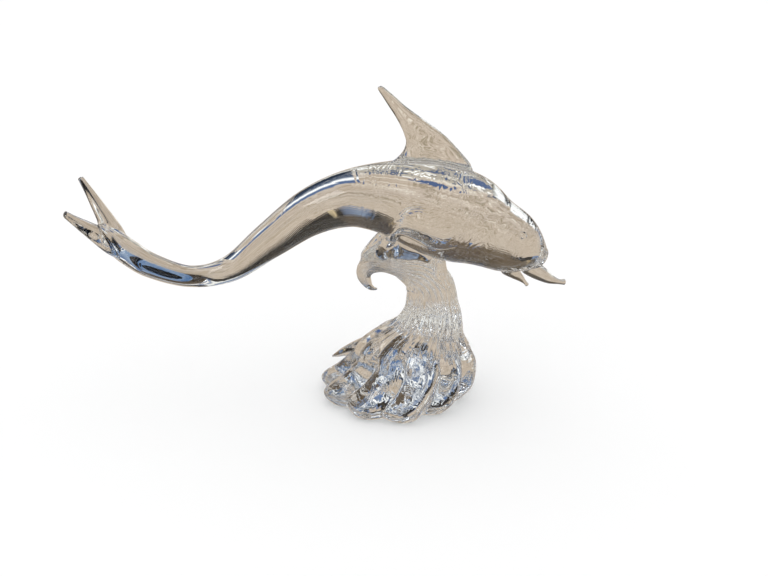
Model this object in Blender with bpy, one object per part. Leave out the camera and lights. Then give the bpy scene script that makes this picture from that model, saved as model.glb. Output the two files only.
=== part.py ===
"""A leaping dolphin on a breaking wave, worked hot from solid clear glass and fused into one piece.

Metres, +Z up. The origin is the middle of the ground foot, and the head points along +X.
"""
import math

import bmesh
import bpy
from mathutils import Matrix, Vector

for thing in list(bpy.data.objects):
    bpy.data.objects.remove(thing, do_unlink=True)

# The dolphin
DOLPHIN_LENGTH = 0.514      # level, from the flukes' tips to the beak's tip
CHEST_DEPTH = 0.100         # back to belly, under the front of the dorsal fin
CHEST_WIDTH = 0.096         # flank to flank, at the same place
DORSAL_HEIGHT = 0.098       # from inside the back to the tip
DORSAL_CHORD = 0.090        # along the back
DORSAL_THICKNESS = 0.013    # at the root
FLUKE_SPAN = 0.087          # tip to tip
FLUKE_THICKNESS = 0.0145    # at the root
FLUKE_ROLL = 15.5           # degrees, the far tip is the higher one
FLUKE_YAW = 12.0            # degrees, the far tip lies further back
PECTORAL_CHORD = 0.020
PECTORAL_THICKNESS = 0.008
EYE_DIAMETER = 0.0085
BEAK_WIDTH = 0.017

# The wave
WAVE_HEIGHT = 0.155         # from the table to the belly that sits on it
FOOT_WIDTH = 0.160          # over the lobes of the skirt
COLUMN_WIDTH = 0.055        # the waist, under the curl
CREST_WIDTH = 0.036         # the curl, from its near edge to its far edge
SEAT_OFFSET = 0.051         # the belly's seat, forward of the middle of the foot
LOBES = 10                  # thick folds of the skirt
LOBE_TURN = math.radians(25)  # of one lobe's middle from the head's side
LOBE_DEPTH = 0.013          # the valleys between them, at the skirt's rim
RIBS = 20                   # fine flutes that run up the column and over the curl
RIB_DEPTH = 0.0026

# How finely the glass is cast into facets
GRAIN = DOLPHIN_LENGTH / 330
FACETS = 9400
SIDES = 20
WAVE_SIDES = 180
CAP_BULGE = 0.6             # of a bar's rounded end, as a share of its half thickness
STATION_STEP = 0.05         # between two places on the body's line, where its direction is taken
RING_STEP = 0.15            # the same on the wave's line

# The body from the fork of the tail to the melon. Along and up from the spine over the seat are
# shares of the dolphin's length; half depth and half width are shares of the chest's.
BODY = (
    (-0.703, -0.0320, 0.080, 0.280),
    (-0.672, -0.0635, 0.212, 0.420),
    (-0.640, -0.0905, 0.238, 0.450),
    (-0.597, -0.1175, 0.216, 0.485),
    (-0.519, -0.1405, 0.195, 0.410),
    (-0.437, -0.1240, 0.275, 0.345),
    (-0.353, -0.0620, 0.380, 0.510),
    (-0.270, -0.0030, 0.475, 0.700),
    (-0.189, 0.0265, 0.580, 0.850),
    (-0.108, 0.0270, 0.770, 0.920),
    (-0.048, 0.0150, 0.925, 0.980),
    (0.000, 0.0000, 0.980, 1.000),
    (0.053, -0.0205, 0.945, 0.985),
    (0.101, -0.0460, 0.768, 0.865),
    (0.143, -0.0680, 0.668, 0.700),
    (0.174, -0.0860, 0.495, 0.510),
    (0.201, -0.1020, 0.240, 0.250),
)
SEAT_STATION = 11           # the row over the seat, counted from 0
SNOUT_BULGE = 0.40          # of the melon's rounded front, as a share of the last half depth
EYE_STATION = 13.9
EYE_RISE = 0.53             # above the spine there, as a share of the half depth
EYE_SHAPE = (1.0, 0.45, 1.15)  # the pressed bead, as shares of its diameter

# The dorsal fin from inside the back to the tip: up as a share of its height, the trailing and
# leading edges as shares of its chord, and the thickness as a share of the root's.
DORSAL = (
    (0.00, 0.00, 0.98, 1.00),
    (0.16, 0.00, 0.905, 1.00),
    (0.28, 0.115, 0.800, 0.80),
    (0.39, 0.165, 0.695, 0.60),
    (0.49, 0.142, 0.585, 0.52),
    (0.58, 0.100, 0.455, 0.46),
    (0.68, 0.040, 0.305, 0.40),
    (0.78, -0.030, 0.160, 0.36),
    (0.88, -0.098, 0.040, 0.33),
    (0.955, -0.150, -0.055, 0.30),
    (0.980, -0.150, -0.085, 0.24),
)
DORSAL_STATION = 9.03       # the spine under the fin's trailing edge
DORSAL_SINK = 0.52          # where the fin's root starts, as a share of the half depth up
DORSAL_LEAN = -0.45         # how far behind the middle it is thickest, as a share of the half chord
DORSAL_TIP = 0.1            # of its rounded top, as a share of the root's thickness

# One fluke from the tail's root to its blunt tip: back along the tail as a share of the dolphin's
# length, outwards as a share of half the span, half chord as a share of half the span, and the
# thickness as a share of the root's.
FLUKE = (
    (0.000, 0.10, 0.36, 1.00),
    (0.033, 0.35, 0.41, 0.85),
    (0.070, 0.59, 0.32, 0.62),
    (0.106, 0.81, 0.20, 0.48),
    (0.136, 0.97, 0.11, 0.38),
)
FLUKE_STATION = 1.4         # the body's row that they grow from
FLUKE_SLOPE = 50.5          # degrees, how steeply the tail turns up at the flukes
FLUKE_SWEEP = 0.44          # of the blades, forwards for each metre outwards

# The beak and the lower jaw: along and up as shares of the length, from the spine over the seat,
# then half height and half width as shares of the beak's width.
BEAK = (
    (0.170, -0.119, 0.45, 0.62),
    (0.197, -0.132, 0.48, 0.50),
    (0.219, -0.1455, 0.32, 0.34),
    (0.238, -0.1520, 0.160, 0.19),
    (0.250, -0.1530, 0.185, 0.18),
)
JAW = (
    (0.130, -0.121, 0.48, 0.60),
    (0.152, -0.137, 0.32, 0.42),
    (0.167, -0.151, 0.14, 0.17),
    (0.1740, -0.1590, 0.12, 0.12),
)

# A pectoral fin along the flank: the body's station, how far up its half depth, how far out as a
# share of the body's half width there, the fin's chord as a share of PECTORAL_CHORD, and the
# chord's lean from upright towards the tail, in degrees.
PECTORAL = (
    (11.75, -0.34, 0.90, 0.20, -14),
    (11.40, -0.44, 0.95, 0.55, -14),
    (10.85, -0.48, 1.00, 0.80, -14),
    (10.10, -0.46, 1.00, 0.66, -14),
    (9.50, -0.50, 1.00, 0.45, 0),
    (9.28, -0.80, 1.00, 0.42, 45),
)
PECTORAL_LANDING = (1.30, 80)  # chord and lean where the tip is pressed onto the curl
PECTORAL_FOOT = 14.55       # the wave's row that the tip stands on
PECTORAL_SPREAD = 0.42      # the tip's distance from the curl's middle, as a share of its half width

# The wave from under the foot, up the column, over the curl and down to the tip of its hook.
# Along and up from the middle of the foot are shares of the wave's height; then half the
# thickness fore and aft, and half the width across, each as a share of a named width.
SKIRT = (
    (-0.005, -0.060, 0.74, 0.84),
    (0.000, 0.000, 0.910, 1.03),
    (0.012, 0.080, 1.035, 1.14),
    (0.076, 0.160, 0.960, 1.08),
    (0.137, 0.270, 0.845, 0.94),
    (0.140, 0.357, 0.76, 0.81),
    (0.174, 0.447, 0.61, 0.64),
    (0.228, 0.515, 0.48, 0.49),
)
COLUMN = (
    (0.257, 0.595, 1.16, 1.16),
    (0.259, 0.681, 1.013, 1.02),
    (0.2437, 0.800, 0.916, 1.00),
)
CREST = (
    (0.1688, 0.8760, 1.213, 1.360),
    (0.0467, 0.9200, 0.611, 1.240),
    (0.0000, 0.9320, 0.450, 1.120),
    (-0.0850, 0.9480, 0.400, 1.020),
    (-0.1720, 0.9400, 0.550, 0.870),
    (-0.2080, 0.8738, 0.440, 0.650),
    (-0.1800, 0.7988, 0.250, 0.400),
    (-0.1480, 0.7700, 0.120, 0.200),
    (-0.1183, 0.7650, 0.050, 0.080),
)

TURN_ROW = 8.5              # from this row up, the rings turn to follow the wave's path,
TURN_ROWS = 3.0             # and within so many rows they are square to it
LOBE_ROWS = 5.0             # the lobes fade out within so many rows below TURN_ROW
LOBE_FULLNESS = 1.3         # how quickly they do, as a power
RIB_FADE = 0.6              # how much of the fine flutes is lost on the skirt
CURL_ROW = 11.0             # from this row on, the flutes fade out towards the hook
CURL_ROWS = 6.0
LOBE_SWAY = 0.05            # how unevenly the lobes are spaced, in radians
LOBE_SWAY_TURN = 0.6
CORNER_PINCH = 0.035        # how far the skirt is drawn in between its four sides

# The neck of glass from the column into the belly: how far up it, and half its width as a share
# of the column's.
NECK = ((0.0, 0.80), (0.35, 0.72), (0.65, 0.66), (0.85, 0.80), (1.0, 0.95))
NECK_ROW = 10.2             # the wave's row that it grows from
NECK_SHIFT = 0.45           # towards the outside of the curl, as a share of the half thickness
NECK_SINK = 0.55            # into the belly, as a share of its half depth
NECK_FLATNESS = 0.46        # its depth as a share of its width

# The web of glass between the top of the curl, the belly and the pectoral fins: the wave's row
# below it and the body's row above it, how far up the gap between them its middle lies, half its
# height as a share of the gap, and half its width as a share of half the curl's.
WEB = (
    (14.0, 8.95, 0.30, 0.37, 0.85),
    (13.3, 9.20, 0.60, 0.60, 1.35),
    (12.1, 9.80, 0.78, 0.77, 1.20),
    (11.4, 10.55, 1.00, 1.48, 0.96),
    (10.85, 11.20, 1.00, 1.50, 0.80),
)

# The leaf of glass thrown out from the skirt: how far along it, and its width as a share.
SPLASH = ((0.0, 1.0), (0.45, 1.0), (0.7, 0.85), (0.88, 0.55), (1.0, 0.14))
SPLASH_WIDTH = 0.036
SPLASH_FLATNESS = 0.44      # its thickness as a share of its width
SPLASH_TURN = math.radians(155)
SPLASH_REACH = 0.462        # from the middle of the foot, as a share of the foot's width
SPLASH_START = 0.17         # forward of the middle of the foot, as a share of the wave's height
SPLASH_HEIGHTS = (0.44, 0.185)  # where it leaves the column and where it ends, as shares too
SPLASH_ARCH = 0.03


def clamp(share):
    """A share held between 0 and 1."""
    return max(0.0, min(1.0, share))


def between(rows, place):
    """The row at a place along a list, on a smooth curve through its rows."""
    last = len(rows) - 1
    first = max(0, min(last - 1, math.floor(place)))
    t = place - first
    four = [rows[max(0, min(last, first + step))] for step in (-1, 0, 1, 2)]
    weights = (
        (-t ** 3 + 2 * t ** 2 - t) / 2,
        (3 * t ** 3 - 5 * t ** 2 + 2) / 2,
        (-3 * t ** 3 + 4 * t ** 2 + t) / 2,
        (t ** 3 - t ** 2) / 2,
    )
    return tuple(sum(w * row[i] for w, row in zip(weights, four)) for i in range(len(rows[0])))


def places(rows, steps):
    """Places along a list of rows, with a number of steps between each row and the next."""
    return [step / steps for step in range((len(rows) - 1) * steps + 1)]


def loft(bm, rings, caps):
    """Join rings of points with quads, and close each end with a fan around its cap point."""
    made = [[bm.verts.new(point) for point in ring] for ring in rings]
    for low, high in zip(made, made[1:]):
        for i in range(len(low)):
            j = (i + 1) % len(low)
            bm.faces.new((low[i], low[j], high[j], high[i]))
    for ring, point, turn in ((made[0], caps[0], -1), (made[-1], caps[1], 1)):
        middle = bm.verts.new(point)
        for i in range(len(ring)):
            corners = (ring[i], ring[(i + 1) % len(ring)], middle)
            bm.faces.new(corners[::turn])


def oval(centre, side, rise, half_side, half_rise, lean=0.0):
    """Points round a centre in the plane of two directions; lean shifts the widest place."""
    turns = [2 * math.pi * i / SIDES for i in range(SIDES)]
    return [centre + side * half_side * math.sin(a)
            + rise * half_rise * (math.cos(a) + lean * math.sin(a) ** 2) for a in turns]


def strand(bm, sections, sheared=False):
    """A closed rounded bar through sections of centre, side direction, half side and half rise.

    Its sections are square to its path, or, if it is sheared, keep the side directions given.
    """
    rings = []
    centres = [section[0] for section in sections]
    for number, (centre, side, half_side, half_rise) in enumerate(sections):
        ahead = centres[min(number + 1, len(centres) - 1)] - centres[max(number - 1, 0)]
        rise = ahead.cross(side).normalized()
        across = side.normalized() if sheared else rise.cross(ahead).normalized()
        rings.append(oval(centre, across, rise, half_side, half_rise))
    starts = (centres[0] - centres[1]).normalized() * min(sections[0][2:])
    ends = (centres[-1] - centres[-2]).normalized() * min(sections[-1][2:])
    loft(bm, rings, (centres[0] + starts * CAP_BULGE, centres[-1] + ends * CAP_BULGE))


def dolphin_point(along, up):
    """A place in the dolphin's middle plane, from its shares along and up."""
    height = WAVE_HEIGHT + CHEST_DEPTH / 2
    return Vector((SEAT_OFFSET + along * DOLPHIN_LENGTH, 0.0, height + up * DOLPHIN_LENGTH))


def body_section(place):
    """Centre, upward direction, half depth and half width of the body at a station."""
    along, up, depth, width = between(BODY, place)
    steps = (-STATION_STEP, STATION_STEP)
    behind, before = (dolphin_point(*between(BODY, place + step)[:2]) for step in steps)
    ahead = before - behind
    rise = Vector((-ahead.z, 0.0, ahead.x)).normalized()
    return dolphin_point(along, up), rise, depth * CHEST_DEPTH / 2, width * CHEST_WIDTH / 2


def body(bm):
    """The body and tail, round in section and deepest at the chest."""
    side = Vector((0.0, 1.0, 0.0))
    rings = []
    for place in places(BODY, 4):
        centre, rise, depth, width = body_section(place)
        rings.append(oval(centre, side, rise, width, depth))
    tail, head = body_section(0), body_section(len(BODY) - 1)
    snout = Vector((head[1].z, 0.0, -head[1].x)) * head[2] * SNOUT_BULGE
    loft(bm, rings, (tail[0], head[0] + snout))


def dorsal_fin(bm):
    """A thin swept blade that stands on the back."""
    centre, rise, depth, width = body_section(DORSAL_STATION)
    foot = centre.z + depth * DORSAL_SINK
    rings = []
    for place in places(DORSAL, 3):
        up, trailing, leading, thick = between(DORSAL, place)
        x = centre.x + (trailing + leading) / 2 * DORSAL_CHORD
        middle = Vector((x, 0.0, foot + up * DORSAL_HEIGHT))
        half_chord = (leading - trailing) / 2 * DORSAL_CHORD
        half_thick = thick * DORSAL_THICKNESS / 2
        rings.append(oval(middle, Vector((0, 1, 0)), Vector((1, 0, 0)), half_thick, half_chord, DORSAL_LEAN))
    low = sum(rings[0], Vector()) / len(rings[0])
    high = sum(rings[-1], Vector()) / len(rings[-1]) + Vector((0.0, 0.0, DORSAL_THICKNESS * DORSAL_TIP))
    loft(bm, [ring[::-1] for ring in rings], (low, high))


def fluke(bm, hand):
    """One half of the tail fin, a thick pointed blade; hand is -1 for the near one."""
    root = dolphin_point(*between(BODY, FLUKE_STATION)[:2])
    slope = math.radians(FLUKE_SLOPE)
    back = Vector((-math.cos(slope), 0.0, math.sin(slope)))
    roll = Matrix.Rotation(-math.radians(FLUKE_ROLL), 3, back)
    yaw = Matrix.Rotation(math.radians(FLUKE_YAW), 3, "Z")
    out = yaw @ roll @ Vector((0.0, hand, 0.0))
    sections = []
    for place in places(FLUKE, 3):
        along, outward, chord, thick = between(FLUKE, place)
        centre = root + back * along * DOLPHIN_LENGTH + out * outward * FLUKE_SPAN / 2
        blade = out - back * FLUKE_SWEEP
        sections.append((centre, blade, chord * FLUKE_SPAN / 2, thick * FLUKE_THICKNESS / 2))
    strand(bm, sections)


def beak_part(bm, rows):
    """The upper beak or the lower jaw, a short tapered bar with a blob of glass at its end."""
    sections = []
    for place in places(rows, 3):
        along, up, height, width = between(rows, place)
        size = (width * BEAK_WIDTH, height * BEAK_WIDTH)
        sections.append((dolphin_point(along, up), Vector((0.0, 1.0, 0.0)), *size))
    strand(bm, sections)


def skin_point(place, share, hand):
    """A place on the body's surface: how far up its half depth, and on which side."""
    centre, rise, depth, width = body_section(place)
    return centre + rise * depth * share + Vector((0.0, hand * width * math.sqrt(1 - share ** 2), 0.0))


def eye(bm, hand):
    """A small bead of glass pressed into the cheek."""
    centre = skin_point(EYE_STATION, EYE_RISE, hand)
    stretch = Matrix.Diagonal((*EYE_SHAPE, 1.0))
    bmesh.ops.create_icosphere(
        bm, subdivisions=2, radius=EYE_DIAMETER / 2, matrix=Matrix.Translation(centre) @ stretch)


def pectoral_fin(bm, hand):
    """A fin laid along the flank, whose tip is drawn down and pressed onto the top of the curl."""
    centre, side, outward, thick, wide = wave_section(PECTORAL_FOOT)
    middle = centre + side * hand * wide * PECTORAL_SPREAD
    rows = [(*skin_point(place, share, hand * out), chord, lean)
            for place, share, out, chord, lean in PECTORAL]
    rows.append((*(middle + outward * thick), *PECTORAL_LANDING))
    rows.append((*middle, *PECTORAL_LANDING))
    sections = []
    for place in places(rows, 3):
        x, y, z, chord, lean = between(rows, place)
        blade = Vector((-math.sin(math.radians(lean)), 0.0, math.cos(math.radians(lean))))
        sections.append((Vector((x, y, z)), blade, chord * PECTORAL_CHORD / 2, PECTORAL_THICKNESS / 2))
    strand(bm, sections, sheared=True)


# The wave's rows become metres here: x, z, half thickness and half width.
WAVE = [
    (along * WAVE_HEIGHT, up * WAVE_HEIGHT, thick * across / 2, wide * across / 2)
    for rows, across in ((SKIRT, FOOT_WIDTH), (COLUMN, COLUMN_WIDTH), (CREST, CREST_WIDTH))
    for along, up, thick, wide in rows
]


def wave_section(place):
    """Centre, side, outward direction, half thickness and half width of the wave at a station."""
    x, z, thick, wide = between(WAVE, place)
    before, after = (between(WAVE, place + step) for step in (-RING_STEP, RING_STEP))
    ahead = Vector((after[0] - before[0], 0.0, after[1] - before[1])).normalized()
    ahead = Vector((0.0, 0.0, 1.0)).lerp(ahead, clamp((place - TURN_ROW) / TURN_ROWS)).normalized()
    outward = Vector((ahead.z, 0.0, -ahead.x))
    return Vector((x, 0.0, z)), Vector((0.0, 1.0, 0.0)), outward, thick, wide


def fluted(angle, count, depth):
    """How far the surface lies below a row of rounded flutes with sharp valleys between them."""
    return depth * (1 - abs(math.cos(count * angle / 2)))


def wave(bm):
    """The breaking wave: a skirt of thick lobes, a fluted column and a curl that ends in a hook."""
    rings = []
    for place in places(WAVE, 6):
        centre, side, outward, thick, wide = wave_section(place)
        skirt = clamp((TURN_ROW - place) / LOBE_ROWS)
        curl = clamp((place - CURL_ROW) / CURL_ROWS)
        ring = []
        for i in range(WAVE_SIDES):
            angle = 2 * math.pi * i / WAVE_SIDES
            sway = angle + LOBE_SWAY * math.sin(2 * angle + LOBE_SWAY_TURN) - LOBE_TURN
            cut = fluted(sway, LOBES, LOBE_DEPTH * skirt ** LOBE_FULLNESS)
            cut += fluted(sway, RIBS, RIB_DEPTH * (1 - curl) * (1 - RIB_FADE * skirt))
            cut += CORNER_PINCH * FOOT_WIDTH / 2 * skirt * math.sin(2 * angle) ** 2
            away = outward * math.cos(angle) * (thick - cut) + side * math.sin(angle) * (wide - cut)
            ring.append(centre + away)
        rings.append(ring)
    loft(bm, rings, (wave_section(0)[0], wave_section(len(WAVE) - 1)[0]))


def neck(bm):
    """The neck of glass that runs from the column up into the belly."""
    waist = wave_section(NECK_ROW)
    belly = body_section(SEAT_STATION)
    base = waist[0] + waist[2] * waist[3] * NECK_SHIFT
    top = belly[0] - belly[1] * belly[2] * NECK_SINK
    sections = []
    for share, flare in NECK:
        half = flare * COLUMN_WIDTH / 2
        sections.append((base.lerp(top, share), Vector((0.0, 1.0, 0.0)), half, half * NECK_FLATNESS))
    strand(bm, sections)


def web(bm):
    """A thick web of glass that fills the gap between the curl's top, the belly and the fins."""
    sections = []
    for place in places(WEB, 3):
        wave_place, body_place, up, height, width = between(WEB, place)
        centre, side, outward, thick, wide = wave_section(wave_place)
        spine, rise, depth, girth = body_section(body_place)
        low, high = centre + outward * thick, spine - rise * depth
        size = (width * CREST_WIDTH / 2, height * (high - low).length)
        sections.append((low.lerp(high, up), side, *size))
    strand(bm, sections)


def splash(bm):
    """A pointed leaf of glass thrown out low from the skirt, towards the tail and the far side."""
    away = Vector((math.cos(SPLASH_TURN), math.sin(SPLASH_TURN), 0.0))
    start = Vector((SPLASH_START, 0.0, SPLASH_HEIGHTS[0])) * WAVE_HEIGHT
    end = away * FOOT_WIDTH * SPLASH_REACH + Vector((0.0, 0.0, SPLASH_HEIGHTS[1] * WAVE_HEIGHT))
    sections = []
    for share, flare in SPLASH:
        arch = SPLASH_ARCH * WAVE_HEIGHT * math.sin(math.pi * share)
        half = flare * SPLASH_WIDTH / 2
        point = start.lerp(end, share) + Vector((0.0, 0.0, arch))
        sections.append((point, Vector((-away.y, away.x, 0.0)), half, half * SPLASH_FLATNESS))
    strand(bm, sections)


def clear_glass():
    """Clear furnace glass, fire-polished."""
    material = bpy.data.materials.new("clear_glass")
    material.use_nodes = True
    shader = material.node_tree.nodes["Principled BSDF"]
    shader.inputs["Base Color"].default_value = (0.93, 0.95, 0.96, 1.0)
    shader.inputs["Roughness"].default_value = 0.02
    shader.inputs["IOR"].default_value = 1.5
    shader.inputs["Transmission Weight"].default_value = 1.0
    return material


def add_object(name, mesh):
    """A new object in the scene that shows a mesh."""
    thing = bpy.data.objects.new(name, mesh)
    bpy.context.scene.collection.objects.link(thing)
    return thing


def gathered_glass():
    """All the hot pieces, still overlapping, in one mesh."""
    bm = bmesh.new()
    body(bm)
    dorsal_fin(bm)
    beak_part(bm, BEAK)
    beak_part(bm, JAW)
    for hand in (-1, 1):
        fluke(bm, hand)
        pectoral_fin(bm, hand)
        eye(bm, hand)
    wave(bm)
    neck(bm)
    web(bm)
    splash(bm)
    bmesh.ops.recalc_face_normals(bm, faces=bm.faces)
    mesh = bpy.data.meshes.new("gathered_glass")
    bm.to_mesh(mesh)
    bm.free()
    return mesh


def fused(mesh):
    """The pieces melted together into one skin, with soft joints where they meet."""
    rough = add_object("rough", mesh)
    melt = rough.modifiers.new("melt", "REMESH")
    melt.mode = "VOXEL"
    melt.voxel_size = GRAIN
    polish = rough.modifiers.new("polish", "SMOOTH")
    polish.factor = 0.5
    polish.iterations = 2
    skin = bpy.data.meshes.new_from_object(rough.evaluated_get(bpy.context.evaluated_depsgraph_get()))
    bpy.data.objects.remove(rough, do_unlink=True)
    return skin


def table_cutter():
    """A block below the table's surface, which grinds the foot flat."""
    bm = bmesh.new()
    size = FOOT_WIDTH * 2
    bmesh.ops.create_cube(bm, size=size, matrix=Matrix.Translation((0.0, 0.0, -size / 2)))
    mesh = bpy.data.meshes.new("table_cutter")
    bm.to_mesh(mesh)
    bm.free()
    cutter = add_object("table_cutter", mesh)
    cutter.hide_render = True
    cutter.display_type = "WIRE"
    return cutter


def sculpture():
    """The finished piece: one solid with a flat ground foot."""
    skin = fused(gathered_glass())
    triangles = sum(len(face.vertices) - 2 for face in skin.polygons)
    piece = add_object("dolphin_on_wave", skin)
    thin = piece.modifiers.new("facets", "DECIMATE")
    thin.ratio = FACETS / triangles
    thin.use_collapse_triangulate = True
    grind = piece.modifiers.new("ground_foot", "BOOLEAN")
    grind.object = table_cutter()
    grind.operation = "DIFFERENCE"
    skin.materials.clear()
    skin.materials.append(clear_glass())
    skin.shade_smooth()
    return piece


sculpture()
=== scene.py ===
# %% [markdown]
# A leaping dolphin on a breaking wave, worked hot from solid clear glass.
#
# The glass is gathered on a pipe, pulled, pinched and fused while it is soft, so the real piece
# is one body with no seams. Its surface is polished by the flame. A reader who is learning
# Blender can see here how such a free form is built from a few rows of sizes, how one geometry
# tree makes every bar of glass, and how clear glass is shown by what stands around it.

import math

import bmesh
import bpy
import numpy as np
from mathutils import Matrix, Vector
from mathutils.kdtree import KDTree


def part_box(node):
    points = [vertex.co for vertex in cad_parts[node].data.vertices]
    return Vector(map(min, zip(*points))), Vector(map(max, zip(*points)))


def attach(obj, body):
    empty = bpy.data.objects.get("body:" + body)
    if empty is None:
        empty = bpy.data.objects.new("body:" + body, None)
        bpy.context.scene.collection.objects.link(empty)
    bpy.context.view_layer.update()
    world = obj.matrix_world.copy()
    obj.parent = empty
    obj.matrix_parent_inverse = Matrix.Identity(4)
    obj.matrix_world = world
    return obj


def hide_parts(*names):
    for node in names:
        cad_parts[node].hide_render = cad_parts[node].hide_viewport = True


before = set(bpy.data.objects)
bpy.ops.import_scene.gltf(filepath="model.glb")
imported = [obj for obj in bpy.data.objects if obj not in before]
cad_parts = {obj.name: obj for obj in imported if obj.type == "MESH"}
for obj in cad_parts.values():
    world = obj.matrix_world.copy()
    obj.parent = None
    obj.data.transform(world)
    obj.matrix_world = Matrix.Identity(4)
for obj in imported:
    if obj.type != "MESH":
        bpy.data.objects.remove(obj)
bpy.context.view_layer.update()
foot_low, top_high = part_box("dolphin_on_wave")
print("solid from", tuple(round(x, 4) for x in foot_low), "to", tuple(round(x, 4) for x in top_high))

# %% [markdown]
# Sizes come first. A glassworker measures the dolphin by its length and its girth, and the wave
# by its height and by the widths of its foot, its waist and its curl. Everything else here is a
# share of one of these, so the pose stays the same when a size changes.

# %% Driving sizes, in metres
DOLPHIN_LENGTH = 0.514
CHEST_DEPTH = 0.100
CHEST_WIDTH = 0.096
DORSAL_HEIGHT = 0.098
DORSAL_CHORD = 0.090
DORSAL_THICKNESS = 0.013
FLUKE_SPAN = 0.087
FLUKE_THICKNESS = 0.0145
PECTORAL_CHORD = 0.020
PECTORAL_THICKNESS = 0.008
EYE_DIAMETER = 0.0085
BEAK_WIDTH = 0.017
WAVE_HEIGHT = 0.155
FOOT_WIDTH = 0.160
COLUMN_WIDTH = 0.055
CREST_WIDTH = 0.036
SEAT_OFFSET = 0.051
print("dolphin", DOLPHIN_LENGTH * 1000, "mm long, on a wave", WAVE_HEIGHT * 1000, "mm high")

# %% [markdown]
# Every bar of glass is given by a few rows of numbers that say where its middle line runs and how
# thick it is there. The rows are joined by a smooth curve that passes through them, so a dozen or
# so are enough, and a row is easy to move when the outline is compared with the real piece. A
# place on such a list, called a station, is a number too: 3.5 lies halfway from row 3 to row 4.

# %% A smooth curve through rows


def between(rows, place):
    """The row at a place along a list, on a smooth curve through its rows."""
    last = len(rows) - 1
    first = max(0, min(last - 1, math.floor(place)))
    t = place - first
    four = [rows[max(0, min(last, first + step))] for step in (-1, 0, 1, 2)]
    weights = (
        (-t ** 3 + 2 * t ** 2 - t) / 2,
        (3 * t ** 3 - 5 * t ** 2 + 2) / 2,
        (-3 * t ** 3 + 4 * t ** 2 + t) / 2,
        (t ** 3 - t ** 2) / 2,
    )
    return tuple(sum(w * row[i] for w, row in zip(weights, four)) for i in range(len(rows[0])))


def places(rows, steps):
    """Places along a list of rows, with a number of steps between each row and the next."""
    return [step / steps for step in range((len(rows) - 1) * steps + 1)]


print("halfway from 1 to 3 the curve is at", between(((1.0,), (3.0,)), 0.5)[0])

# %% [markdown]
# Trees of nodes do two jobs here: they skin the bars of glass, and they colour the glass and its
# surroundings. One small function adds a node with its settings, its numbers, its links and, on
# a colour ramp, its stops. Colours are written in sRGB, as on a screen, and are turned to linear
# ones, because Blender mixes light and not screen values.

# %% A helper that adds a node
MATH, VECTOR_MATH = "ShaderNodeMath", "ShaderNodeVectorMath"


def linear(hex_colour):
    """An sRGB hex colour as linear red, green, blue and alpha."""
    parts = [int(hex_colour[i:i + 2], 16) / 255 for i in (1, 3, 5)]
    return (*(p / 12.92 if p <= 0.04045 else ((p + 0.055) / 1.055) ** 2.4 for p in parts), 1.0)


def add(tree, kind, values=None, stops=(), **settings):
    """Add a node, set its properties, and fill its inputs with numbers or with other nodes."""
    node = tree.nodes.new(kind)
    for name, setting in settings.items():
        setattr(node, name, setting)
    for key, value in (values or {}).items():
        if isinstance(value, bpy.types.Node):
            value = value.outputs[0]
        if isinstance(value, bpy.types.NodeSocket):
            tree.links.new(value, node.inputs[key])
        else:
            node.inputs[key].default_value = value
    if stops:
        elements = node.color_ramp.elements
        while len(elements) < len(stops):
            elements.new(1.0)
        for element, (place, colour) in zip(elements, stops):
            element.position = place
            element.color = linear(colour) if isinstance(colour, str) else colour
    return node


print("mid grey is", round(linear("#808080")[0], 3), "of full light")

# %% [markdown]
# Every bar of glass has the same make-up: a line of centres, and at each centre two directions
# that span its oval section. A small mesh of loose points can carry that as attributes, and one
# geometry tree can then skin them all. Doing it in a tree, and not in Python, means that the
# fluting can be tried out by moving a number in the modifier.
#
# The skin starts as a flat grid with one row of vertices for each point of the line. A vertex
# finds its ring and its angle from its own number.

# %% Rings round a line, and the angle round each
BAR_INPUTS = (
    ("Line", "NodeSocketGeometry", None),
    ("Around", "NodeSocketInt", 48),
    ("Lobes", "NodeSocketInt", 10),
    ("Lobe Depth", "NodeSocketFloat", 0.0),
    ("Lobe Turn", "NodeSocketFloat", 0.0),
    ("Lobe Sway", "NodeSocketFloat", 0.05),
    ("Corner Pinch", "NodeSocketFloat", 0.0),
    ("Ribs", "NodeSocketInt", 20),
    ("Rib Depth", "NodeSocketFloat", 0.0),
    ("Threads", "NodeSocketInt", 64),
    ("Thread Depth", "NodeSocketFloat", 0.0),
    ("Seed", "NodeSocketFloat", 0.0),
    ("Lean", "NodeSocketFloat", 0.0),
    ("Glass", "NodeSocketMaterial", None),
)


def numbered_rings(tree, line, around):
    """A grid with a row of vertices for each point of the line, their rings and their angles."""
    rings = add(tree, "GeometryNodeAttributeDomainSize", {"Geometry": line}, component="MESH")
    columns = add(tree, MATH, {0: around, 1: 1.0}, operation="ADD")
    grid = add(tree, "GeometryNodeMeshGrid", {"Vertices X": rings, "Vertices Y": columns})
    index = add(tree, "GeometryNodeInputIndex")
    middle = add(tree, MATH, {0: index, 1: 0.5}, operation="ADD")
    share = add(tree, MATH, {0: middle, 1: columns}, operation="DIVIDE")
    ring = add(tree, MATH, {0: share}, operation="FLOOR")
    before = add(tree, MATH, {0: ring, 1: columns}, operation="MULTIPLY")
    column = add(tree, MATH, {0: index, 1: before}, operation="SUBTRACT")
    turn = add(tree, MATH, {0: column, 1: around}, operation="DIVIDE")
    angle = add(tree, MATH, {0: turn, 1: math.tau}, operation="MULTIPLY")
    return grid, ring, angle


print("a bar's tree takes", len(BAR_INPUTS), "inputs")

# %% [markdown]
# The mould leaves three sizes of fluting: thick lobes at the foot, ribs and fine threads. No hand
# work is even, so the lobes sway a little to one side, and the threads wander as the glass is
# pulled. Valleys between flutes are rounded by the fire, so they are softened too.

# %% The fluting
VALLEY_SOFTNESS = 0.012
SWAY_START = 0.6
THREAD_WANDER = 0.9
WANDER_SCALE = 2.2
WANDER_PER_RING = 0.012
LOBE_FULLNESS = 1.3


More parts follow.
